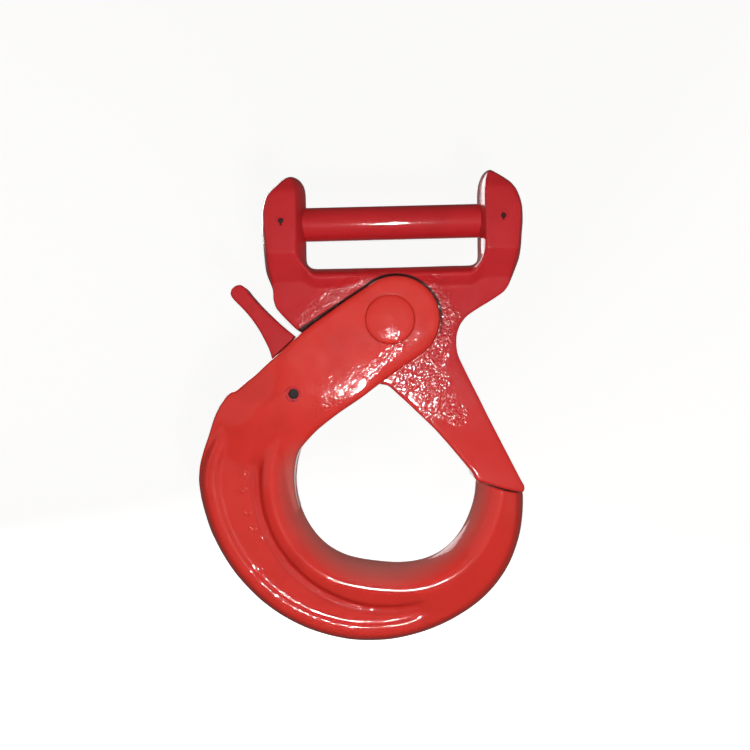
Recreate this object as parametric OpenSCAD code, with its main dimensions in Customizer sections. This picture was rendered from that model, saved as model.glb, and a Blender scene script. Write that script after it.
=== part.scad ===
// Self-locking hook with a wide clevis head for a web sling, hanging from its cross bar.
// Millimetres. Origin at the centre of the sling bar, +X to the right, +Y away, +Z up.

/* [Sling bar] */
// diameter of the cross bar
bar_d = 13.4; // [11:0.2:16]
// length of the cross bar, end to end
bar_len = 101; // [96:0.5:102]

/* [Clevis head] */
// clear width between the two ears
window_w = 68.8; // [60:0.2:72]
// height of the ledge under the bar, measured from the bar axis
window_drop = 18.2; // [14:0.2:20]
// corner radius of the window
window_r = 4; // [2:0.5:6]
// thickness of the ear bosses around the bar
boss_t = 25; // [22:0.5:28]
// thickness of the ear legs below the bosses
leg_t = 22; // [18:0.5:24]
// thickness of the plate inside the fork
plate_t = 12.4; // [10:0.1:12.6]
// thickness of the locking arm at its lower end
arm_t = 22; // [16:0.5:26]
// distance of each small roll pin from the middle plane
ear_pin_x = 43.1; // [40:0.1:46]
// outside diameter of the small roll pins
ear_pin_d = 4; // [3:0.5:5]
// inside diameter of the small roll pins
ear_pin_bore = 2.2; // [1.5:0.1:2.8]

/* [Main pivot] */
// pivot position across
pivot_x = -1.8; // [-4:0.1:2]
// pivot position below the bar
pivot_z = -39.3; // [-42:0.1:-36]
// diameter of the pivot pin
pivot_d = 17.2; // [14:0.2:19]
// radial running clearance of the head on the pivot pin
run_gap = 0.05; // [0.02:0.01:0.1]

/* [Hook body] */
// overall thickness of the fork
fork_t = 30; // [26:0.5:34]
// width of the slot between the cheeks
slot_w = 13; // [12.8:0.1:15]
// radius of the bowl
bowl_r = 36; // [32:0.5:40]
// radial width of the bead round the bowl
bead_w = 13.4; // [10:0.2:16]
// thickness of the bead
bead_t = 24; // [20:0.5:28]
// thickness of the web between bead and rim
web_t = 16; // [12:0.5:20]
// thickness of the outer rim
rim_t = 20; // [16:0.5:24]
// radial width of the outer rim
rim_w = 5; // [3:0.5:8]

/* [Trigger] */
// trigger pin position across
trigger_x = -39.6; // [-42:0.1:-38]
// trigger pin position below the bar
trigger_z = -67.1; // [-69:0.1:-65]
// thickness of the trigger
trigger_t = 12; // [10:0.1:12.4]
// outside diameter of the trigger roll pin
trigger_pin_d = 6; // [5:0.5:7]
// inside diameter of the trigger roll pin
trigger_pin_bore = 4; // [3:0.2:4.6]
// wire diameter of the return spring
wire_d = 1.2; // [0.8:0.1:1.4]

/* [Hidden] */
$fn = 48;
eps = 0.01;
// bowl centre
bowl_x = -4.3;
bowl_z = -101.2;
// centre from which the outer contour is swept, and its largest radius
spiral_x = -4.9;
spiral_z = -101.7;
spiral_r = 74.3;
// loss of radius per degree towards the tip, and per squared degree towards the fork
tip_rate = 0.1135;
back_rate = 0.0042;
// rounded end of the fork
cap_x = 0.7;
cap_z = -39.2;
cap_r = 16.8;
// half gap left at the seam between arm and tip
seam_gap = 0.25;
// radius cleared round the pivot on the head, and in the fork's slot
head_end_r = 25.5;
slot_end_r = 26.5;
cheek_clear_r = 20.6;
boss_r = 7.6;
slot_boss_r = 9.3;
slit_w = 0.6;
half_w = window_w / 2;
coil_r = 5;
coil_seat = 4.4;
leg_len = 5.6;

// points on a circle from angle a to angle b
function arc(cx, cz, r, a, b, n = 12) =
  [for (i = [0:n]) let (t = a + (b - a) * i / n) [cx + r * cos(t), cz + r * sin(t)]];

// radius of the outer contour at angle t
function spiral(t) =
  t > 180 ? spiral_r - tip_rate * (t - 180) : spiral_r - back_rate * pow(180 - t, 2);

// part of the outer contour, moved inwards by d
function contour(a, b, d = 0, n = 40) =
  [for (i = [0:n]) let (t = a + (b - a) * i / n, r = spiral(t) - d)
    [spiral_x + r * cos(t), spiral_z + r * sin(t)]];

// rounded-rectangle section, w wide and t thick, centred on x
function bead_section(x, w, t, n = 28) =
  [for (i = [0:n - 1]) let (a = 360 * i / n, c = cos(a), s = sin(a))
    [x + w / 2 * sign(c) * pow(abs(c), 0.75), t / 2 * sign(s) * pow(abs(s), 0.75)]];

head_left = [
  [-half_w, 12], [-35.2, 16], [-37, 19], [-39.8, 20.6], [-43, 18.9], [-48, 15.3],
  [-51.2, 11], [-52.3, 4], [-52.3, -2], [-51.4, -6], [-51, -17.6], [-50.3, -20.4],
  [-48.8, -23.6], [-47.5, -27], [-47.5, -30], [-46.6, -33.3], [-43.9, -36.5],
  [-40.8, -39.8], [-38.6, -42], [-36.6, -43.2], [-33, -43.8], [-28, -44.4]];
head_end = concat(arc(pivot_x, pivot_z, head_end_r, 193, 265), [[-2.9, -64.8]]);
arm_end = [
  [31.7, -104 + seam_gap], [33.6, -105.7 + seam_gap], [38, -107.4 + seam_gap],
  [42.8, -108.3 + seam_gap], [49.2, -108.8 + seam_gap]];
head_right = [
  [49.2, -105.2], [47.7, -102.8], [24.9, -54.2], [24.3, -50.5], [24.3, -47],
  [24.7, -44.6], [26, -41.4], [28.5, -38.3], [33.3, -35.2], [38.6, -32.2],
  [43.5, -29.1], [46, -25.9], [47.7, -22.8], [49.2, -19.4], [50.6, -15.8],
  [51.4, -11], [51.6, -5.5], [52.4, -1.8], [52.5, 3.7], [52, 7.9], [50.9, 11.8],
  [48.7, 14.7], [45.4, 17.5], [42.8, 18.6], [38.7, 20.7], [36.6, 19], [35.2, 16],
  [half_w, 12]];
window = concat(
  arc(half_w - window_r, -window_drop + window_r, window_r, 0, -90, 6),
  arc(-half_w + window_r, -window_drop + window_r, window_r, -90, -180, 6));

cap = arc(cap_x, cap_z, cap_r, -55, 121, 20);
fork_back = [
  [-21.9, -33.7], [-36.6, -43.8], [-45.7, -52], [-50.4, -55.7], [-54, -58.8],
  [-58.3, -62], [-63, -65.8]];
tip_end = [
  [49.2, -108.8 - seam_gap], [42.8, -108.3 - seam_gap], [38, -107.4 - seam_gap],
  [33.6, -105.7 - seam_gap]];
tip_face = [
  [47.8, -108.7 - seam_gap], [42.8, -108.3 - seam_gap], [38, -107.4 - seam_gap],
  [36, -106.75 - seam_gap]];
bowl = arc(bowl_x, bowl_z, bowl_r + 1.5, -6, -200, 44);
bowl_back = arc(bowl_x, bowl_z, bowl_r + 0.5, -164, -200, 10);
throat = [
  [-35.5, -85.8], [-30.4, -80.8], [-22.2, -74.8], [-12.9, -68.9], [-9, -66],
  [-4.3, -62.6]];

slot = concat(
  [[-85, -15], [40, -15], [40, -75]],
  arc(pivot_x, pivot_z, slot_end_r, 290, 225, 16),
  [[-22.5, -58.8], [-27.5, -61.5]],
  arc(trigger_x, trigger_z, slot_boss_r, 25, -160, 16),
  [[-85, -66]]);

trigger_plate = concat(
  [[-62.4, -24.3], [-63.6, -25.2], [-64.1, -26.6], [-63.7, -28.1], [-62.5, -29.7],
   [-59.4, -33], [-56.7, -36.2], [-54.4, -39.5], [-52.5, -42.7], [-50.9, -46],
   [-49.4, -49.2], [-48.3, -53], [-47.4, -60]],
  arc(trigger_x, trigger_z, boss_r, 155, 372, 20),
  [[-33.4, -61], [-35, -57], [-36.9, -51], [-38, -46.6], [-39, -44.4],
   [-40.8, -42.4], [-43, -41.2], [-45.6, -39.7], [-48.3, -36.4], [-52.2, -33.1],
   [-54.9, -29.9], [-57.8, -26.2]]);

// solid of thickness t standing on the middle plane
module plate(pts, t) rotate([90, 0, 0]) linear_extrude(t, center = true) polygon(pts);

// round bar along Y through x, z
module cross(x, z, d, len) translate([x, 0, z]) rotate([90, 0, 0]) cylinder(d = d, h = len, center = true);

// profile seen from the side, run through the whole width
module side_profile(pts)
  rotate([90, 0, 90]) linear_extrude(200, center = true)
    polygon(concat(pts, [for (i = [len(pts) - 1:-1:0]) [-pts[i][0], pts[i][1]]]));

module roll_pin(x, z, d, bore, len)
  difference() {
    cross(x, z, d, len);
    cross(x, z, bore, len + 1);
    translate([x, 0, z - d / 2]) cube([slit_w, len + 1, d], center = true);
  }

// forged head: two bossed ears, a window for the sling and the locking arm
module head()
  color("firebrick") difference() {
    intersection() {
      plate(concat(head_left, head_end, arm_end, head_right, window), boss_t);
      side_profile([
        [9.5, 21], [boss_t / 2 - 1, 18.5], [boss_t / 2, 14], [boss_t / 2, -3],
        [leg_t / 2, -5], [leg_t / 2 - 0.5, -14], [leg_t / 2 - 2, -18],
        [plate_t / 2, -25.5], [plate_t / 2, -66], [arm_t / 2, -103],
        [arm_t / 2, -110]]);
    }
    for (side = [-1, 1])
      translate([0, side * (plate_t / 2 + boss_t / 2), 0])
        cross(pivot_x, pivot_z, cheek_clear_r * 2, boss_t);
    cross(pivot_x, pivot_z, pivot_d + 2 * run_gap, boss_t + 1);
    rotate([0, 90, 0]) cylinder(d = bar_d, h = 120, center = true);
    for (side = [-1, 1]) cross(side * ear_pin_x, 0, ear_pin_d, boss_t + 1);
  }

// loose cross bar, cross-drilled for its two roll pins
module sling_bar()
  color("firebrick") difference() {
    rotate([0, 90, 0]) cylinder(d = bar_d, h = bar_len, center = true);
    for (side = [-1, 1]) cross(side * ear_pin_x, 0, ear_pin_d, bar_d + 1);
  }

module bar_roll_pin_left()
  color("brown") roll_pin(-ear_pin_x, 0, ear_pin_d, ear_pin_bore, boss_t - 1);

module bar_roll_pin_right()
  color("brown") roll_pin(ear_pin_x, 0, ear_pin_d, ear_pin_bore, boss_t - 1);

// forged hook: fork at the top, bead, web and rim round the bowl, blunt tip
module hook_body()
  color("red") difference() {
    union() {
      plate(concat(cap, fork_back, contour(148, 352), tip_end, bowl, throat), web_t);
      intersection() {
        plate(concat(cap, fork_back, contour(148, 200, 0, 14), bowl_back, throat), fork_t);
        side_profile([
          [fork_t / 2 - 2, -20], [fork_t / 2, -24], [fork_t / 2, -72],
          [bead_t / 2, -88], [web_t / 2 - 1, -101]]);
      }
      plate(concat(contour(151, 300), contour(300, 151, rim_w)), rim_t);
      plate(concat(contour(290, 351, 1.5, 16), tip_face, arc(bowl_x, bowl_z, bowl_r + 4, -10, -70)),
        rim_t - 1);
      difference() {
        translate([bowl_x, 0, bowl_z]) rotate([90, 0, 0]) rotate([0, 0, -200])
          rotate_extrude(angle = 200)
            polygon(bead_section(bowl_r + bead_w / 2, bead_w, bead_t));
        plate([[0, -90], [60, -90], [60, -109.4], [49.2, -109.05], [42.8, -108.55],
          [38, -107.65], [33.6, -105.95], [31, -103.9], [25, -100]], bead_t + 1);
      }
    }
    plate(slot, slot_w);
    cross(pivot_x, pivot_z, pivot_d, fork_t + 1);
    cross(trigger_x, trigger_z, trigger_pin_d, fork_t + 1);
  }

module pivot_pin() color("firebrick") cross(pivot_x, pivot_z, pivot_d, fork_t - 0.4);

// thumb lever that blocks the heel of the head when the hook is shut
module trigger()
  color("red") difference() {
    plate(trigger_plate, trigger_t);
    cross(trigger_x, trigger_z, trigger_pin_d + 2 * run_gap, trigger_t + 1);
    translate([0, -trigger_t / 2 + coil_seat / 2 - eps, 0])
      cross(trigger_x, trigger_z, (coil_r + wire_d) * 2 + 4, coil_seat);
  }

module trigger_roll_pin()
  color("brown")
    roll_pin(trigger_x, trigger_z, trigger_pin_d, trigger_pin_bore, fork_t - 2);

// torsion return spring, its turns drawn as closed rings
module trigger_spring()
  color("silver") translate([trigger_x, 0, trigger_z]) {
    for (i = [0:2])
      translate([0, -trigger_t / 2 + wire_d * (0.6 + 0.9 * i), 0]) rotate([90, 0, 0])
        rotate_extrude() translate([coil_r, 0]) circle(d = wire_d);
    translate([-coil_r, -trigger_t / 2 + wire_d * 2.4, 0])
      rotate([0, 8, 0]) cylinder(d = wire_d * 0.9, h = leg_len);
    translate([coil_r, -trigger_t / 2 + wire_d * 0.6, 0])
      rotate([0, 172, 0]) cylinder(d = wire_d * 0.9, h = 6.5);
  }

head();
sling_bar();
bar_roll_pin_left();
bar_roll_pin_right();
hook_body();
pivot_pin();
trigger();
trigger_roll_pin();
trigger_spring();
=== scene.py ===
# %% [markdown]
# # A self-locking hook for a web sling
# The hook is three forgings painted in red enamel (the head, the hook body and the trigger),
# with a cross bar, four pins and a spring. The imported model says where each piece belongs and
# how it moves, and this script gives each piece its look.

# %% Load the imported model
import math

import bmesh
import bpy
from mathutils import Matrix, Vector, noise


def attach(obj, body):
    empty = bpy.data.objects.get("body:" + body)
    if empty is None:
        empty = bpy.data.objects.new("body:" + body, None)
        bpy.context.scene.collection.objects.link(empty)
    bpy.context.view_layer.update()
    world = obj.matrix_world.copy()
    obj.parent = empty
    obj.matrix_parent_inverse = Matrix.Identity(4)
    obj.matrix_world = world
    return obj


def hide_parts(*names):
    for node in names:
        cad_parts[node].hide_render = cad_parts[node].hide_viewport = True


MM = 0.001
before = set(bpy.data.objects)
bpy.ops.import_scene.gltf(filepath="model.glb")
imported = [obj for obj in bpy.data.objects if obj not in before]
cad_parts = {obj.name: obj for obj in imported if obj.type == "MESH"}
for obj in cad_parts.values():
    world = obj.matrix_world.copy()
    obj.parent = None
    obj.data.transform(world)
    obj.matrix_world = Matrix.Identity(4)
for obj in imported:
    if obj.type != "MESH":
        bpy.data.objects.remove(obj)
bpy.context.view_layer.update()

# %% [markdown]
# ## Working helpers
# A forging has no sharp edge anywhere: its die is rounded, and the flash line is ground off.
# The way to get that is to build a plain solid with bmesh operators, then to turn it into an
# even skin with a voxel remesh and relax the skin. Edges and joints then melt together as
# metal does in a die, and the amount of rounding is the number of relaxing passes.


# %% Turning a bmesh into an object, and back
def settle(bm, name):
    """Writes a bmesh to a new object with its normals pointing outwards."""
    bmesh.ops.recalc_face_normals(bm, faces=bm.faces)
    mesh = bpy.data.meshes.new(name)
    bm.to_mesh(mesh)
    bm.free()
    piece = bpy.data.objects.new(name, mesh)
    bpy.context.scene.collection.objects.link(piece)
    return piece


def bake_modifiers(piece):
    """Swaps the mesh of a piece for what its modifiers make of it."""
    graph = bpy.context.evaluated_depsgraph_get()
    done = bpy.data.meshes.new_from_object(piece.evaluated_get(graph))
    piece.modifiers.clear()
    old = piece.data
    piece.data = done
    bpy.data.meshes.remove(old)
    return piece


def skin(piece, voxel_mm, passes):
    """One even skin over everything in the piece, relaxed a number of times."""
    remesh = piece.modifiers.new("skin", "REMESH")
    remesh.mode = "VOXEL"
    remesh.voxel_size = voxel_mm * MM
    if passes:
        relax = piece.modifiers.new("relax", "SMOOTH")
        relax.factor = 0.5
        relax.iterations = passes
    return bake_modifiers(piece)


def cut(piece, cutter):
    """Takes the cutter out of the piece."""
    knife = piece.modifiers.new("cut", "BOOLEAN")
    knife.operation = "DIFFERENCE"
    knife.solver = "EXACT"
    knife.object = cutter
    bake_modifiers(piece)
    bpy.data.objects.remove(cutter)
    return piece


def weld_on(piece, other):
    """Adds the mesh of another piece, to be fused by the next skin."""
    bm = bmesh.new()
    bm.from_mesh(piece.data)
    bm.from_mesh(other.data)
    bm.to_mesh(piece.data)
    bm.free()
    bpy.data.objects.remove(other)
    return piece


# %% [markdown]
# ### Outlines
# Most pieces start as an outline seen from the front. The corner points are joined by edges,
# the edges are subdivided and relaxed into flowing curves, and the face is extruded.


# %% An outline pushed into a solid
SHARP_CORNER = 1.2      # radians between faces, from where an edge counts as a rim


def slab(name, outline_mm, thickness_mm, cuts=3, relax=3, edge_mm=0.0):
    """Pushes an outline seen from the front to an even thickness about the middle plane."""
    bm = bmesh.new()
    corners = [bm.verts.new((x * MM, 0, z * MM)) for x, z in outline_mm]
    ring = [bm.edges.new((a, b)) for a, b in zip(corners, corners[1:] + corners[:1])]
    if cuts:
        bmesh.ops.subdivide_edges(bm, edges=ring, cuts=cuts)
    for _ in range(relax):
        bmesh.ops.smooth_vert(bm, verts=bm.verts, factor=0.5, use_axis_x=True, use_axis_z=True)
    bmesh.ops.contextual_create(bm, geom=bm.edges[:])
    bmesh.ops.translate(bm, vec=(0, -thickness_mm / 2 * MM, 0), verts=bm.verts)
    pushed = bmesh.ops.extrude_face_region(bm, geom=bm.faces[:])
    moved = [g for g in pushed["geom"] if isinstance(g, bmesh.types.BMVert)]
    bmesh.ops.translate(bm, vec=(0, thickness_mm * MM, 0), verts=moved)
    if edge_mm:
        rims = [e for e in bm.edges if len(e.link_faces) == 2
                and e.calc_face_angle(0) > SHARP_CORNER
                and abs(e.verts[0].co.y - e.verts[1].co.y) < 1e-6]
        bmesh.ops.bevel(bm, geom=rims, offset=edge_mm * MM, segments=3, profile=0.5,
                        affect="EDGES", material=-1, clamp_overlap=True)
    return settle(bm, name)


def arc(centre, radius, start, end, steps=12):
    """Points along an arc seen from the front, between two angles in degrees."""
    turns = [math.radians(start + (end - start) * i / steps) for i in range(steps + 1)]
    return [(centre[0] + radius * math.cos(t), centre[1] + radius * math.sin(t)) for t in turns]


def rod(name, centre_mm, radius_mm, length_mm, axis="Y", segments=96):
    """A closed round bar centred on a point, along X or Y."""
    bm = bmesh.new()
    turn = Matrix.Rotation(math.pi / 2, 4, "X" if axis == "Y" else "Y")
    place = Matrix.Translation(Vector(centre_mm) * MM)
    bmesh.ops.create_cone(bm, cap_ends=True, segments=segments, radius1=radius_mm * MM,
                          radius2=radius_mm * MM, depth=length_mm * MM, matrix=place @ turn)
    return settle(bm, name)


def ramp(low, high, value):
    """0 before low, 1 after high, and a straight line between them."""
    return min(max((value - low) / (high - low), 0.0), 1.0)


def ease(low, high, value):
    """The same with a smooth S between them."""
    t = ramp(low, high, value)
    return t * t * (3 - 2 * t)


def mix(a, b, t):
    """The value a share t of the way from a to b."""
    return a + (b - a) * t


def rounding(distance, radius, power=2.2):
    """Share of the full thickness at a distance from a rounded edge."""
    t = min(max(distance / radius, 0.0), 1.0)
    return (1 - (1 - t) ** power) ** (1 / power)


# %% [markdown]
# ### The forged surface
# Forging scale is knocked off before painting, which leaves shallow dents and, where the
# grinder never reached, patches of fine bumps. Both are moved into the mesh itself along
# the normals, with noise that is the same on every run. Finer grain is left to the material.


# %% Dents and rough patches in the mesh
DENTS_PER_M, BUMPS_PER_M, FINE_BUMPS_PER_M = 110, 460, 900


def weather(piece, rough_patches_mm, dent_mm, grain_mm):
    """Moves shallow dents into a whole piece, and fine bumps into its rough patches."""
    mesh = piece.data
    normals = [v.normal.copy() for v in mesh.vertices]
    for v, normal in zip(mesh.vertices, normals):
        shift = dent_mm * noise.noise(v.co * DENTS_PER_M) * MM
        for (x, z), reach in rough_patches_mm:
            away = math.hypot(v.co.x / MM - x, v.co.z / MM - z) / reach
            if away < 1:
                grain = (noise.noise(v.co * BUMPS_PER_M)
                         + 0.5 * noise.noise(v.co * FINE_BUMPS_PER_M))
                shift += grain_mm * (1 - away * away) * grain * MM
        v.co += normal * shift
    return piece


# %% [markdown]
# ## Finishes
# The enamel is sprayed in one thick coat over everything. It has a slight orange peel, its
# colour clouds a little darker in places, and a clear gloss lies over the pigment, so the
# shader is a mid-rough base under a smooth coat, with its bump read by both.


# %% Node helpers
def nodes_of(material):
    material.use_nodes = True
    tree = material.node_tree
    return tree, tree.nodes["Principled BSDF"]


def grain_at(tree, size_mm, detail=3.0, kind="ShaderNodeTexNoise"):
    """A grain of one size, fixed to the piece it is on."""
    place = tree.nodes.get("place") or tree.nodes.new("ShaderNodeTexCoord")
    place.name = "place"
    grain = tree.nodes.new(kind)
    grain.inputs["Scale"].default_value = 1 / (size_mm * MM)
    if "Detail" in grain.inputs:
        grain.inputs["Detail"].default_value = detail
    tree.links.new(place.outputs["Object"], grain.inputs["Vector"])
    return grain


def remap(tree, source, low, high, out_low, out_high):
    """Stretches a value from one range to another, and stops at both ends."""
    band = tree.nodes.new("ShaderNodeMapRange")
    for socket, value in zip(("From Min", "From Max", "To Min", "To Max"),
                             (low, high, out_low, out_high)):
        band.inputs[socket].default_value = value
    tree.links.new(source, band.inputs["Value"])
    return band.outputs["Result"]


def multiply(tree, a, b):
    product = tree.nodes.new("ShaderNodeMath")
    product.operation = "MULTIPLY"
    tree.links.new(a, product.inputs[0])
    if isinstance(b, float):
        product.inputs[1].default_value = b
    else:
        tree.links.new(b, product.inputs[1])
    return product.outputs[0]


def bump(tree, height, depth_mm, below=None):
    """Relief of a small depth, laid over the relief below it."""
    relief = tree.nodes.new("ShaderNodeBump")
    relief.inputs["Distance"].default_value = depth_mm * MM
    tree.links.new(height, relief.inputs["Height"])
    if below is not None:
        tree.links.new(below, relief.inputs["Normal"])
    return relief.outputs["Normal"]


# %% Red enamel over a forging
def away_from(tree, centre_mm):
    """How far a point lies from a centre, both seen from the front."""
    flat = tree.nodes.get("flat")
    if flat is None:
        flat = tree.nodes.new("ShaderNodeVectorMath")
        flat.name = "flat"
        flat.operation = "MULTIPLY"
        flat.inputs[1].default_value = (1, 0, 1)
        tree.links.new(tree.nodes["place"].outputs["Object"], flat.inputs[0])
    away = tree.nodes.new("ShaderNodeVectorMath")
    away.operation = "DISTANCE"
    away.inputs[1].default_value = (centre_mm[0] * MM, 0, centre_mm[1] * MM)
    tree.links.new(flat.outputs[0], away.inputs[0])
    return away.outputs["Value"]


def larger(tree, a, b):
    both = tree.nodes.new("ShaderNodeMath")
    both.operation = "MAXIMUM"
    tree.links.new(a, both.inputs[0])
    tree.links.new(b, both.inputs[1])
    return both.outputs[0]


def patch_mask(tree, patches_mm, core=0.55):
    """1 inside any of the round patches ((x, z), reach) seen from the front, 0 outside."""
    mask = None
    for centre_mm, reach in patches_mm:
        away = away_from(tree, centre_mm)
        near = remap(tree, away, core * reach * MM, reach * MM, 1.0, 0.0)
        mask = near if mask is None else larger(tree, mask, near)
    return mask


def blend_over(tree, colour, over, factor):
    """Lays one plain colour over another by a factor from 0 to 1."""
    layer = tree.nodes.new("ShaderNodeMix")
    layer.data_type = "RGBA"
    layer.inputs["B"].default_value = (*over, 1)
    tree.links.new(factor, layer.inputs["Factor"])
    tree.links.new(colour, layer.inputs["A"])
    return layer.outputs["Result"]


def along(tree, direction, offset_mm):
    """How far a point lies along a direction seen from the front, past an offset."""
    dot = tree.nodes.new("ShaderNodeVectorMath")
    dot.operation = "DOT_PRODUCT"
    dot.inputs[1].default_value = (direction[0], 0, direction[1])
    tree.links.new(tree.nodes["place"].outputs["Object"], dot.inputs[0])
    past = tree.nodes.new("ShaderNodeMath")
    past.operation = "SUBTRACT"
    past.inputs[1].default_value = offset_mm * MM
    tree.links.new(dot.outputs["Value"], past.inputs[0])
    return past.outputs[0]


def stripe(tree, value, low_mm, high_mm, soft_mm=0.5):
    """1 between two distances and 0 outside them, with soft edges."""
    rise = remap(tree, value, low_mm * MM, (low_mm + soft_mm) * MM, 0.0, 1.0)
    fall = remap(tree, value, (high_mm - soft_mm) * MM, high_mm * MM, 1.0, 0.0)
    return multiply(tree, rise, fall)


def cheek_shadow_line(tree):
    """Painted shadow on the head, a dark dull line along the fork's cheek and round its cap, where
    the cheek lies at rest.
    """
    edge = along(tree, (-0.533, 0.846), -16.72)
    line = stripe(tree, edge, -0.6, 1.7)
    line = multiply(tree, line, stripe(tree, along(tree, (-0.846, -0.533), 0.0), 19.0, 55.0))
    ring = stripe(tree, away_from(tree, CAP), 16.4, 18.7)
    upper = remap(tree, along(tree, (0.25, 0.97), -38.0), -6 * MM, 8 * MM, 0.0, 1.0)
    return larger(tree, line, multiply(tree, ring, upper))


def painted_groove_shade(tree):
    """Painted shade that darkens and dulls the groove of the bowl, from low on the back to under
    the throat.
    """
    ring = stripe(tree, away_from(tree, SPIRAL), 48.0, 53.2, 0.9)
    left = remap(tree, along(tree, (1, 0), 0.0), 0.0, 9 * MM, 1.0, 0.0)
    low = remap(tree, along(tree, (0, 1), 0.0), -96 * MM, -86 * MM, 1.0, 0.0)
    return multiply(tree, multiply(tree, ring, left), low)


# the dark brown here is a painted shadow along the fork's cheek
# the grey here is paint rubbed thin by the load and a painted reflection of the pale surroundings
WORN_AND_REFLECTED_GREY, SHADOW_BROWN = (0.40, 0.19, 0.165), (0.035, 0.010, 0.008)
COAT_SMOOTH, COAT_ROUGH = 0.07, 0.13
PEEL_SIZE, PEEL_DEPTH = 1.6, 0.035      # orange peel of the sprayed coat, mm
BUMP_SIZE = 1.15                        # bumps in the rough patches, mm


def enamel(name, pigment, shade, pits_mm, rough_patches_mm=(), rough_mm=0.0,
           bowl_wear_and_painted_light=False, arm_tone_and_cheek_shadow=False):
    """Glossy enamel with clouded colour, orange peel, pits and, where asked, rough patches, bowl
    wear with a painted reflection, painted shade in the groove and a painted shadow by the cheek.
    """
    material = bpy.data.materials.new(name)
    tree, gloss = nodes_of(material)
    gloss.inputs["Coat Weight"].default_value = 1.0
    gloss.inputs["Coat Roughness"].default_value = COAT_SMOOTH
    gloss.inputs["Coat IOR"].default_value = 1.45
    gloss.inputs["Specular IOR Level"].default_value = 0.12

    cloud = grain_at(tree, 14, 4.0).outputs["Fac"]
    colour = tree.nodes.new("ShaderNodeRGB").outputs[0]
    colour.default_value = (*pigment, 1)
    colour = blend_over(tree, colour, shade, remap(tree, cloud, 0.45, 0.80, 0.0, 0.40))
    if bowl_wear_and_painted_light:
        # the load has rubbed the paint thin along the inside of the bowl; the grey laid there,
        # stronger lower down, is also a painted reflection of the pale surroundings on the throat's
        # wall
        wear_and_reflection = patch_mask(tree, [(SPIRAL, 42.5)], 0.82)
        low = remap(tree, along(tree, (0, 1), 0.0), -96 * MM, -84 * MM, 0.65, 0.0)
        colour = blend_over(tree, colour, WORN_AND_REFLECTED_GREY, multiply(tree, wear_and_reflection, low))
        # painted shade: the groove is darkened as well as dulled
        groove_shade = painted_groove_shade(tree)
        colour = blend_over(tree, colour, shade, multiply(tree, groove_shade, 0.45))
        tree.links.new(remap(tree, groove_shade, 0.0, 1.0, 1.0, 0.12), gloss.inputs["Coat Weight"])
    if arm_tone_and_cheek_shadow:
        # the arm was touched up later, with the paint of the hook
        arm = remap(tree, along(tree, (0, 1), 0.0), -88 * MM, -52 * MM, 0.75, 0.0)
        colour = blend_over(tree, colour, SCARLET, arm)
        # painted shadow: a dark, dull line on the head along the fork's cheek and round its cap
        painted_shade = cheek_shadow_line(tree)
        colour = blend_over(tree, colour, SHADOW_BROWN, painted_shade)
        tree.links.new(remap(tree, painted_shade, 0.0, 1.0, 1.0, 0.05), gloss.inputs["Coat Weight"])
    tree.links.new(colour, gloss.inputs["Base Color"])

    smear = grain_at(tree, 5, 3.0).outputs["Fac"]
    tree.links.new(remap(tree, smear, 0.3, 0.7, 0.42, 0.60), gloss.inputs["Roughness"])

    # the relief is laid in layers: peel, then pits, then the bumps of the rough patches
    peel = grain_at(tree, PEEL_SIZE, 2.0).outputs["Fac"]
    relief = bump(tree, peel, PEEL_DEPTH)
    where = remap(tree, grain_at(tree, 22, 2.0).outputs["Fac"], 0.50, 0.66, 0.0, 1.0)
    scale = multiply(tree, grain_at(tree, 0.9, 4.0).outputs["Fac"], where)
    relief = bump(tree, scale, pits_mm, relief)
    if rough_patches_mm:
        cell = grain_at(tree, BUMP_SIZE, kind="ShaderNodeTexVoronoi").outputs["Distance"]
        grit = remap(tree, multiply(tree, cell, cell), 0.0, 0.5, 1.0, 0.0)
        rough = patch_mask(tree, rough_patches_mm)
        haze = remap(tree, rough, 0.0, 1.0, COAT_SMOOTH, COAT_ROUGH)
        tree.links.new(haze, gloss.inputs["Coat Roughness"])
        grit = multiply(tree, grit, rough)
        relief = bump(tree, grit, rough_mm, relief)
        scale = remap(tree, grain_at(tree, 1.3, 1.0).outputs["Fac"], 0.36, 0.64, 0.0, 1.0)
        relief = bump(tree, multiply(tree, scale, rough), 1.5 * rough_mm, relief)
    tree.links.new(relief, gloss.inputs["Normal"])
    tree.links.new(relief, gloss.inputs["Coat Normal"])
    return material


# %% [markdown]
# The head and lever came out of a cooler, darker batch of paint than the hook. The lists of
# rough patches give each patch's centre and reach in mm, seen from the front.

# %% The batches of paint and where the forgings are rough
CRIMSON, CRIMSON_SHADE = (0.57, 0.019, 0.024), (0.36, 0.010, 0.012)
SCARLET, SCARLET_SHADE = (0.70, 0.033, 0.024), (0.46, 0.018, 0.014)
HEAD_ROUGH = [((-33.5, -39), 6), ((-29, -35), 6), ((-24, -31.5), 6), ((-18.5, -28), 6),
              ((-13, -24.5), 5), ((15.5, -25.5), 5), ((21.5, -38), 5.5), ((19.5, -45), 6),
              ((14.5, -52.5), 8), ((8, -60), 9), ((3, -65), 6), ((14, -66), 9),
              ((18, -72), 7), ((24, -77), 5), ((19, -31), 4), ((11.5, -75.5), 5)]
SPIRAL, CAP = (-4.9, -101.7), (0.7, -39.2)
HOOK_ROUGH = [((-10.4, -59.7), 3.4), ((-7.5, -57.4), 3.4), ((-4.7, -55.1), 3.4),
              ((-1.8, -52.6), 3.2), ((1.1, -50.1), 3), ((-17.5, -67), 2.6), ((-1, -45), 3.4),
              ((-60, -98), 2.2), ((-60.5, -104), 2.2), ((-59, -113), 2),
              ((-57, -119), 2.2), ((-54.5, -124), 2.2), ((-22.5, -69.3), 3.2), ((-27, -72), 2.6)]
HOOK_ROUGH += [(spot, 3.0) for spot in arc(SPIRAL, 61, 214, 262, 7)]
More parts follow.
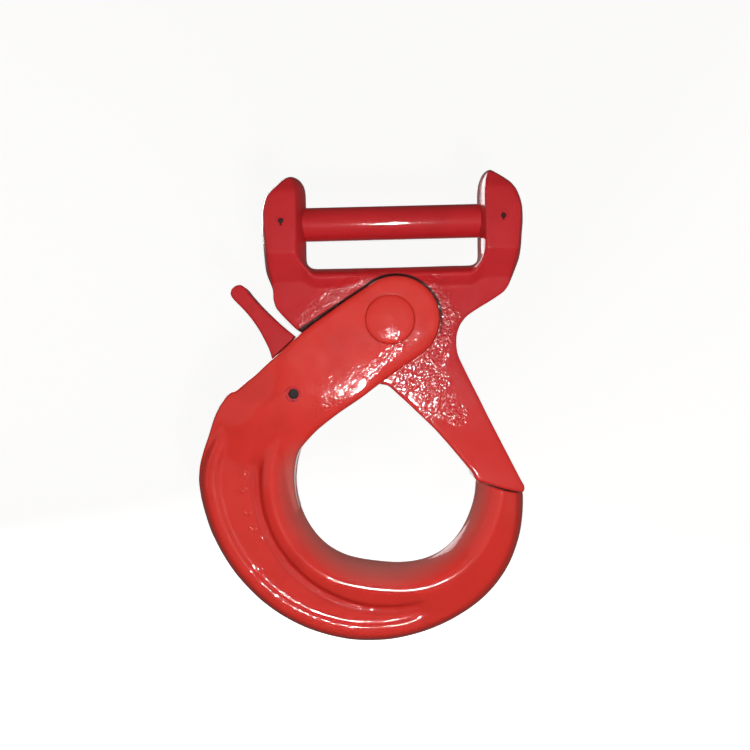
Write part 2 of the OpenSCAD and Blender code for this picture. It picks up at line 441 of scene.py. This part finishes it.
HEAD_PAINT = enamel("enamel_head", CRIMSON, CRIMSON_SHADE, 0.08, HEAD_ROUGH, 0.12, arm_tone_and_cheek_shadow=True)
HOOK_PAINT = enamel("enamel_hook", SCARLET, SCARLET_SHADE, 0.08, HOOK_ROUGH, 0.06, bowl_wear_and_painted_light=True)
BAR_PAINT = enamel("enamel_bar", CRIMSON, CRIMSON_SHADE, 0.05)
LEVER_PAINT = enamel("enamel_lever", CRIMSON, CRIMSON_SHADE, 0.10)


CREASE = 0.9      # radians between faces, from where shading breaks instead of flowing


def paint(piece, material):
    """One material all over, with smooth shading that breaks at the machined edges."""
    piece.data.materials.clear()
    piece.data.materials.append(material)
    bm = bmesh.new()
    bm.from_mesh(piece.data)
    for face in bm.faces:
        face.smooth = True
    for edge in bm.edges:
        edge.smooth = edge.calc_face_angle(0) < CREASE
    bm.to_mesh(piece.data)
    bm.free()
    return piece


def place(piece, body, node, material, slot="enamel"):
    """Paints a finished piece, ties it to its body and lets it stand for its CAD node."""
    paint(piece, material)
    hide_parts(node)
    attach(piece, body)
    print(piece.name, len(piece.data.polygons), "faces")
    return piece


# %% [markdown]
# ## The clevis head
# One forging makes two thick ears with the window between them, a flat plate that runs
# inside the fork, and the locking arm. The outline is pushed to the full thickness of the
# ears, skinned, and then each point is drawn in towards the middle plane by a thickness
# that depends on its place. That gives the long blended slopes that a stack of plates lacks.

# %% Where the head's outline runs
PIVOT = (-1.8, -39.3)
TRIGGER_PIN = (-39.6, -67.1)
PIN_BORE = 3.05      # radius of the bore for the trigger's roll pin, mm
SEAM_GAP = 0.25

HEAD_LEFT = [(-34, 13), (-34.6, 16.2), (-36.3, 18.7), (-39.3, 19.8), (-42.5, 18.8), (-46.5, 15.4),
             (-50.6, 11), (-52.2, 4), (-52.2, -2), (-51.6, -7), (-51, -17.6), (-50.3, -20.4),
             (-48.8, -23.6), (-47.5, -27), (-47.5, -30), (-46.6, -33.3), (-43.9, -36.5),
             (-40.8, -39.8), (-38.6, -42), (-36.6, -43.2), (-33, -43.8), (-28, -44.4)]
HEAD_END = arc(PIVOT, 25.4, 193, 265) + [(-2.9, -64.8)]
SEAM = [(29.7, -102.4), (30.3, -102.8), (33.2, -103.9), (36.9, -105.1), (42, -106.6),
        (46.9, -107.7), (48.7, -108.1)]
ARM_END = [(16.1, -83.5), (29.6, -100.4)] + [(x, z + SEAM_GAP) for x, z in SEAM]
HEAD_RIGHT = [(49.2, -105.4), (47.7, -102.8), (36.3, -78.5), (24.9, -54.2), (24.3, -50.5),
              (24.3, -47), (24.7, -44.6), (26, -41.4), (28.5, -38.3), (33.3, -35.2),
              (38.6, -32.2), (43.5, -29.1), (46, -25.9), (47.7, -22.8), (49.2, -19.4),
              (50.6, -15.8), (51.4, -11), (51.8, -5.5), (52.3, -1.8), (52.3, 3.7),
              (51.6, 7.6), (50.2, 11.6), (47.9, 14.9), (45, 17.2), (42, 19),
              (38.8, 20.8), (36.6, 19.2), (35.3, 16), (34.8, 12)]
WINDOW = (arc((30.4, -14.2), 4, 0, -90, 5) + arc((-30.4, -14.2), 4, -90, -180, 5))

# half thicknesses, from the ears down to the end of the arm
BOSS_HALF, LEG_HALF, PLATE_HALF, ARM_HALF = 12.5, 12.1, 6.2, 11.0
ROLL_PIN_OUT = 43.1      # how far the bar's roll pins stand from the middle, mm


# %% Thickness of the head from place to place
def head_half(x, z):
    """Half the thickness of the head, in mm."""
    boss = mix(LEG_HALF, BOSS_HALF, ease(-14, 0, z))
    leg = mix(PLATE_HALF, boss, ramp(-23.6, -12.5, z))
    near_cap = ramp(21.5, 26.5, math.hypot(x - PIVOT[0], z - PIVOT[1]))
    frame_half = mix(PLATE_HALF, leg, near_cap)
    arm = mix(ARM_HALF, PLATE_HALF, ease(-108, -74, z))
    crown = mix(1.0, 0.80, ease(12, 21, z))
    return (frame_half if z > -50 else arm) * crown


# %% Forge the head
head = slab("head_forging", HEAD_LEFT + HEAD_END + ARM_END + HEAD_RIGHT + WINDOW,
            BOSS_HALF * 2, cuts=3, relax=1, edge_mm=1.9)
skin(head, 0.62, 3)
for v in head.data.vertices:
    x, z = v.co.x / MM, v.co.z / MM
    v.co.y *= head_half(x, z) / BOSS_HALF
    # the die's draft: every wall leans back towards both faces
    out = min(abs(v.co.y) / MM / head_half(x, z), 1) ** 2
    inner = (1 - ease(34, 40, abs(x))) * ease(-19, -12, z)
    outer = ease(38, 52, abs(x)) * ease(-29, -19, z)
    draft = 3.2 if x < 0 else 1.6
    lean = draft * out * inner - (0.3 + 2.2 * out) * outer
    v.co.x += lean * MM * math.copysign(1, x)
    sill = (1 - ease(30, 36, abs(x))) * ease(-31, -19.5, z) * (1 - ease(-17, -14, z))
    v.co.z += (0.4 * sill - 3.7 * out * sill - (0.8 + 1.9 * out) * ease(3, 20, z)) * MM
skin(head, 0.60, 2)
weather(head, HEAD_ROUGH, 0.07, 0.06)
cut(head, rod("pivot_bore", (PIVOT[0], 0, PIVOT[1]), 8.65, 30))
cut(head, rod("bar_bore", (0, 0, 0), 6.72, 130, axis="X"))
for side in (-1, 1):
    cut(head, rod("pin_bore", (side * ROLL_PIN_OUT, 0, 0), 2.02, 30, segments=48))
place(head, "head_frame", "head", HEAD_PAINT)

# %% [markdown]
# ## The sling bar
# A plain round bar passed through both ears. Only its ends are broken, and it keeps the
# cross holes that take the roll pins.


# %% Turn the bar
def turned(name, centre_mm, radius_mm, length_mm, axis, edge_mm, segments=128):
    """A round bar with both ends broken, as they leave the lathe."""
    piece = rod(name, centre_mm, radius_mm, length_mm, axis, segments)
    bm = bmesh.new()
    bm.from_mesh(piece.data)
    rims = [e for e in bm.edges if e.is_manifold and e.calc_face_angle(0) > SHARP_CORNER]
    bmesh.ops.bevel(bm, geom=rims, offset=edge_mm * MM, segments=4, profile=0.5,
                    affect="EDGES", material=-1)
    bm.to_mesh(piece.data)
    bm.free()
    return piece


bar = turned("cross_bar", (0, 0, 0), 6.7, 101, "X", 1.0)
for side in (-1, 1):
    cut(bar, rod("pin_bore", (side * ROLL_PIN_OUT, 0, 0), 2.0, 20, segments=48))
place(bar, "head_frame", "sling_bar", BAR_PAINT)

# %% [markdown]
# ## The hook body
# The bowl carries a fat round bead for the load, a thinner web around it and a raised rim
# at the back. A ring of points is spun round the bowl to make a tube, and the tube is then
# pressed to the section: each point knows its angle round the bowl and its place round the
# ring, and from these come its radius and its thickness.

# %% The bowl's measures
TIP_ANGLE, BACK_ANGLE = 359.5, 146
BEAD_HALF = 12.0


def hump(turn, middle, width):
    """A smooth swelling: 1 at the middle angle, and fading to 0 over about its width."""
    return math.exp(-((turn - middle) / width) ** 2)


def outer_radius(turn):
    """Radius of the back of the hook, in mm: a spiral, full at the lower right."""
    if turn > 180:
        return 74.3 - 0.1135 * (turn - 180) + 2.1 * hump(turn, 319, 27)
    return 74.3 - 0.0042 * (180 - turn) ** 2 - 1.5 * hump(turn, 165, 7)


def inner_radius(turn):
    """Radius of the throat, in mm: a circle that sits a little high below and wide at the right."""
    return 35.5 - 2.2 * hump(turn, 262, 24) + 1.3 * hump(turn, 314, 22) + 0.5 * hump(turn, 352, 20)


GROOVE_RADIUS, GROOVE_WIDTH, RIM_WIDTH = 49.4, 0.9, 7.8
WEB_HALF, RIM_RISE = 9.0, 1.1
THROAT_ROUND, BACK_ROUND, ROUND_POWER = 9.5, 4.8, 1.6


def section_half(turn, radius):
    """Half the thickness of the bowl, in mm, at an angle and a radius."""
    inside = radius - inner_radius(turn)
    outside = outer_radius(turn) - radius
    # from the top of the bowl round to below the throat: bead, groove, web and rim
    bead = mix(BEAD_HALF, 10.2, ramp(THROAT_ROUND, GROOVE_RADIUS - inner_radius(turn), inside))
    web = WEB_HALF + RIM_RISE * (1 - ramp(RIM_WIDTH, RIM_WIDTH + 1.2, outside))
    grooved = bead if radius < GROOVE_RADIUS else web
    depth = mix(1.7, 0.8, ease(245, 275, turn))
    grooved -= depth * math.exp(-((radius - GROOVE_RADIUS) / GROOVE_WIDTH) ** 2)
    # towards the tip: one plain slope from the bead to the back
    facet = mix(BEAD_HALF, 9.2, ramp(THROAT_ROUND, 21, inside))
    fade = ease(152, 166, turn) * (1 - ease(278, 290, turn))
    half = mix(facet, grooved, fade)
    return (half * rounding(inside, THROAT_ROUND, ROUND_POWER)
            * rounding(outside, BACK_ROUND, ROUND_POWER))


# %% Spin and press the bowl
TUBE_RADIUS = 10      # of the plain tube before it is pressed; its ring has radius 1


def bowl():
    """A tube spun from the fork round to the tip, then pressed to the section point by point."""
    bm = bmesh.new()
    ring = bmesh.ops.create_circle(bm, segments=160, radius=1.0)["verts"]
    bmesh.ops.translate(bm, vec=(TUBE_RADIUS, 0, 0), verts=ring)
    bmesh.ops.rotate(bm, cent=(0, 0, 0), verts=ring,
                     matrix=Matrix.Rotation(-math.radians(BACK_ANGLE), 3, "Y"))
    bmesh.ops.spin(bm, geom=bm.edges[:], cent=(0, 0, 0), axis=(0, -1, 0),
                   angle=math.radians(TIP_ANGLE - BACK_ANGLE), steps=190)
    for v in bm.verts:
        turn = math.degrees(math.atan2(v.co.z, v.co.x)) % 360
        across = math.hypot(v.co.x, v.co.z) - TUBE_RADIUS
        start, end = inner_radius(turn), outer_radius(turn)
        radius = mix(start, end, (1 + across) / 2)
        half = section_half(turn, radius)
        side = math.copysign(1, v.co.y) if abs(v.co.y) > 1e-6 else 0
        t = math.radians(turn)
        v.co = Vector((SPIRAL[0] + radius * math.cos(t), side * half,
                       SPIRAL[1] + radius * math.sin(t))) * MM
    bmesh.ops.holes_fill(bm, edges=[e for e in bm.edges if e.is_boundary])
    return settle(bm, "bowl")


# %% [markdown]
# The fork is a slab with the same outline as the back of the bowl. It thins out as it
# comes down, so that it sinks into the web, and the skin then joins the two.

# %% Outline of the fork
FORK_HALF = 15.0
FORK_BACK = [(-8, -24.9), (-21.9, -33.7), (-36.6, -43.8), (-45.7, -52), (-50.4, -55.7),
             (-54, -58.8), (-58.3, -62), (-63, -65.9)]
FORK_THROAT = [(-35.5, -85.8), (-30.4, -80.8), (-22.2, -74.8), (-12.9, -68.9), (-9, -66),
               (-4.3, -62.6), (3, -57.6)]


def on_spiral(radius, turn):
    """The point at a radius and an angle from the bowl's centre."""
    t = math.radians(turn)
    return (SPIRAL[0] + radius * math.cos(t), SPIRAL[1] + radius * math.sin(t))


fork_outline = (arc(CAP, 16.8, -55, 118, 18) + FORK_BACK
                + [on_spiral(outer_radius(a) - 0.3, a) for a in range(149, 204, 5)]
                + [on_spiral(inner_radius(a) + 0.4, a) for a in range(200, 158, -5)]
                + FORK_THROAT)


def fork_half(x, z):
    """Half the thickness of the fork, in mm."""
    inside = -0.564 * (x - 3) + 0.826 * (z + 57.6)
    thick = FORK_HALF - (1 - ramp(0, 6, inside)) ** 2 * ease(-15, -4, x)
    thick = mix(thick, 6.0, 1 - ease(-112, -66, z))
    turn = math.degrees(math.atan2(z - SPIRAL[1], x - SPIRAL[0])) % 360
    if 126 < turn < 215:
        back = outer_radius(turn) - math.hypot(x - SPIRAL[0], z - SPIRAL[1])
        shoulder = ease(128, 146, turn) * (1 - ease(0, 17, back))
        thick *= 1 - 0.30 * shoulder
    return thick


# %% Forge the hook
hook = slab("hook_forging", fork_outline, FORK_HALF * 2, cuts=2, relax=1, edge_mm=2.0)
skin(hook, 0.66, 2)
for v in hook.data.vertices:
    v.co.y *= fork_half(v.co.x / MM, v.co.z / MM) / FORK_HALF
weld_on(hook, bowl())
skin(hook, 0.60, 3)

# %% [markdown]
# The slot and the mouth at the tip are cut into the finished skin, as they are machined on
# the real forging, and a second, lighter skin breaks their edges. The bores come last and
# stay crisp.

# %% Machine the slot and the mouth
SLOT_WIDTH, FREE_CUT = 13.0, 40      # a free cut is wider than the fork
SLOT = ([(-85, -12), (40, -12), (40, -75)] + arc(PIVOT, 26.5, 290, 225, 16)
        + [(-22.5, -58.8), (-27.5, -61.5)] + arc(TRIGGER_PIN, 9.3, 25, -160, 16)
        + [(-85, -66)])
MOUTH = ([(20, -96), (27, -101.2)] + [(x, z - SEAM_GAP) for x, z in SEAM]
         + [(60, -109.6), (60, -88), (20, -88)])
cut(hook, slab("slot", SLOT, SLOT_WIDTH, cuts=0, relax=0))
cut(hook, slab("mouth", MOUTH, FREE_CUT, cuts=0, relax=0))
skin(hook, 0.58, 2)
weather(hook, HOOK_ROUGH, 0.07, 0.04)
cut(hook, rod("pivot_bore", (PIVOT[0], 0, PIVOT[1]), 8.72, FREE_CUT))
for side in (-1, 1):
    cut(hook, rod("head_seat", (PIVOT[0], side * FORK_HALF, PIVOT[1]), 9.85, 4.2))
cut(hook, rod("trigger_bore", (TRIGGER_PIN[0], 0, TRIGGER_PIN[1]), PIN_BORE, FREE_CUT, segments=64))
place(hook, "hook", "hook_body", HOOK_PAINT)

# %% [markdown]
# ## Pins and trigger
# The pivot pin has a low head at each end, in a shallow seat in the cheek. Pin and cheek are
# painted over together, so only a fine ring shows. The pin's profile is spun round, as on a
# lathe.

# %% Pivot pin
PIN_PROFILE = [(0, 14.9), (2.5, 14.87), (5, 14.8), (7, 14.7), (8.4, 14.6), (9.1, 14.45),
               (9.5, 14.1), (9.6, 13.7), (9.6, 13.05), (8.6, 13.05), (8.6, 8)]
bm = bmesh.new()
curve = PIN_PROFILE + [(r, -y) for r, y in reversed(PIN_PROFILE)]
chain = [bm.verts.new((r * MM, y * MM, 0)) for r, y in curve]
links = [bm.edges.new(pair) for pair in zip(chain, chain[1:])]
bmesh.ops.spin(bm, geom=chain + links, cent=(0, 0, 0), axis=(0, 1, 0),
               angle=math.tau, steps=128)
bmesh.ops.remove_doubles(bm, verts=bm.verts, dist=1e-6)
bmesh.ops.translate(bm, vec=(PIVOT[0] * MM, 0, PIVOT[1] * MM), verts=bm.verts)
pivot = settle(bm, "pivot")
place(pivot, "hook", "pivot_pin", HOOK_PAINT)

# %% Painted shade: near-black cores well inside the hollow pins
painted_shade = bpy.data.materials.new("pin_shade")
tree, dull = nodes_of(painted_shade)
speck = grain_at(tree, 0.8, 3.0).outputs["Fac"]
shade_tone = tree.nodes.new("ShaderNodeMix")
shade_tone.data_type = "RGBA"
shade_tone.inputs["A"].default_value = (0.006, 0.004, 0.004, 1)
shade_tone.inputs["B"].default_value = (0.016, 0.008, 0.006, 1)
tree.links.new(speck, shade_tone.inputs["Factor"])
tree.links.new(shade_tone.outputs["Result"], dull.inputs["Base Color"])
dull.inputs["Roughness"].default_value = 0.7
cores = [("trigger_pin_core", TRIGGER_PIN, 1.99, 14, "hook"),
         ("left_pin_core", (-ROLL_PIN_OUT, 0), 1.09, 16, "head_frame"),
         ("right_pin_core", (ROLL_PIN_OUT, 0), 1.09, 16, "head_frame")]
for core_name, (x, z), radius, length, body in cores:
    core = turned(core_name, (x, 0, z), radius, length, "Y", 0.2, 48)
    paint(core, painted_shade)
    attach(core, body)

# %% The trigger
LEVER = ([(-60.2, -23.6), (-62.4, -24), (-63.9, -25.2), (-64.4, -26.8), (-64, -28.4),
          (-62.8, -29.9), (-59.6, -33.2), (-56.9, -36.4), (-54.6, -39.7), (-52.7, -42.9),
          (-51.1, -46.2), (-49.6, -49.4), (-48.5, -53.2), (-47.4, -60)]
         + arc(TRIGGER_PIN, 7.6, 155, 372, 20)
         + [(-33.4, -61), (-35, -57), (-36.9, -51), (-38, -47), (-39.4, -44.4),
            (-41.7, -42.5), (-45, -39.7), (-49.2, -35.7), (-53.1, -31.6), (-56.7, -27.3),
            (-58.4, -24.9)])
lever = slab("trigger_lever", LEVER, 12.0, cuts=2, relax=1, edge_mm=0.9)
skin(lever, 0.42, 3)
cut(lever, rod("lever_bore", (TRIGGER_PIN[0], 0, TRIGGER_PIN[1]), PIN_BORE, 20, segments=64))
# the spring's coil sits in a round step on the near side
cut(lever, rod("coil_seat", (TRIGGER_PIN[0], -3.8, TRIGGER_PIN[1]), 8.2, 4.4 + 0.01))
place(lever, "trigger_lever", "trigger", LEVER_PAINT)

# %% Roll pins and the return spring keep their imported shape
for node in ("bar_roll_pin_left", "bar_roll_pin_right", "trigger_roll_pin"):
    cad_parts[node].data.materials.clear()
    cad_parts[node].data.materials.append(BAR_PAINT)

steel = bpy.data.materials.new("spring_wire")
tree, shine = nodes_of(steel)
shine.inputs["Metallic"].default_value = 1.0
drawn = grain_at(tree, 0.5, 3.0).outputs["Fac"]
tree.links.new(remap(tree, drawn, 0.3, 0.7, 0.28, 0.42), shine.inputs["Roughness"])
hue = tree.nodes.new("ShaderNodeMix")
hue.data_type = "RGBA"
hue.inputs["A"].default_value = (0.42, 0.42, 0.43, 1)
hue.inputs["B"].default_value = (0.30, 0.29, 0.28, 1)
tree.links.new(grain_at(tree, 3.0, 2.0).outputs["Fac"], hue.inputs["Factor"])
tree.links.new(hue.outputs["Result"], shine.inputs["Base Color"])
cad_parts["trigger_spring"].data.materials.clear()
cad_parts["trigger_spring"].data.materials.append(steel)


# %% [markdown]
# ## The studio
# A pale floor runs up into a pale wall, so the hook hangs in front of one soft tone. The wall
# goes all the way round and gives no light itself: a small flash beside the lens draws the
# thin highlights, broad panels fill the rest, and the edges fall off into the dark.


# %% Floor and wall, as two halves of one round cove
FLOOR, FLAT_RADIUS, BEND = -0.30, 1.0, 0.5      # metres
WALL_TOP, DOME_RISE = 0.9, 0.9


def cove(name, start, end):
    """Sweeps floor, bend, wall and dome between two compass angles, in degrees."""
    bm = bmesh.new()
    wall_radius = FLAT_RADIUS + BEND
    profile = [(0.0, FLOOR), (FLAT_RADIUS, FLOOR)]
    profile += [(FLAT_RADIUS + BEND * math.sin(a), FLOOR + BEND - BEND * math.cos(a))
                for a in [math.radians(10 * i) for i in range(1, 10)]]
    profile += [(wall_radius, WALL_TOP)]
    profile += [(wall_radius * math.cos(a), WALL_TOP + DOME_RISE * math.sin(a))
                for a in [math.radians(15 * i) for i in range(1, 7)]]
    first = math.radians(start)
    points = [bm.verts.new((r * math.cos(first), r * math.sin(first), z)) for r, z in profile]
    edges = [bm.edges.new(pair) for pair in zip(points, points[1:])]
    bmesh.ops.spin(bm, geom=points + edges, cent=(0, 0, 0), axis=(0, 0, 1),
                   angle=math.radians(end - start), steps=48)
    bmesh.ops.remove_doubles(bm, verts=bm.verts, dist=1e-5)
    return settle(bm, name)


paper = bpy.data.materials.new("paper")
tree, matt = nodes_of(paper)
matt.inputs["Base Color"].default_value = (0.80, 0.80, 0.80, 1)
matt.inputs["Roughness"].default_value = 0.9
matt.inputs["Specular IOR Level"].default_value = 0.1
matt.inputs["Emission Color"].default_value = (1, 1, 1, 1)
matt.inputs["Emission Strength"].default_value = 0.86
for half in (cove("studio_far", 0, 180), cove("studio_near", 180, 360)):
    half.data.materials.append(paper)
    for face in half.data.polygons:
        face.use_smooth = True
    half.visible_glossy = half.visible_diffuse = False


# %% Lights
def panel(name, where, aim, size, watts):
    """A square lamp that the camera doesn't see, turned to its aim."""
    lamp = bpy.data.lights.new(name, "AREA")
    lamp.size = size
    lamp.energy = watts
    holder = bpy.data.objects.new(name, lamp)
    holder.location = where
    holder.rotation_euler = (Vector(aim) - Vector(where)).to_track_quat("-Z", "Y").to_euler()
    holder.visible_camera = False
    bpy.context.scene.collection.objects.link(holder)
    return holder


CENTRE = (0, 0, -0.07)
panel("flash", (0.004, -0.365, -0.083), CENTRE, 0.012, 1.02)
panel("front_left", (-0.7, -0.55, 0.10), CENTRE, 0.7, 0.55)
panel("front_right", (0.75, -0.5, -0.05), CENTRE, 0.7, 0.40)
panel("behind", (0.0, 0.50, -0.10), CENTRE, 0.22, 0.12)
panel("back_left", (-0.50, 0.70, 0.35), CENTRE, 0.5, 3.2)
# this one must not draw a white line down the edge of the tip
panel("back_right", (0.65, 0.60, -0.10), CENTRE, 0.5, 2.0).visible_glossy = False
world = bpy.data.worlds.new("studio")
world.use_nodes = True
world.node_tree.nodes["Background"].inputs["Color"].default_value = (1.0, 0.92, 0.84, 1)
world.node_tree.nodes["Background"].inputs["Strength"].default_value = 0.09
bpy.context.scene.world = world
bpy.context.scene.view_settings.view_transform = "Standard"

# %% Camera
lens = bpy.data.cameras.new("camera")
lens.lens = 42
camera = bpy.data.objects.new("camera", lens)
camera.matrix_world = (Matrix.Translation((-0.0081, -0.350, -0.0606))
                       @ Matrix.Rotation(math.pi / 2, 4, "X")
                       @ Matrix.Rotation(-math.radians(1.4), 4, "Z"))
bpy.context.scene.collection.objects.link(camera)
bpy.context.scene.camera = camera

# %% Update the scene and close
bpy.context.view_layer.update()
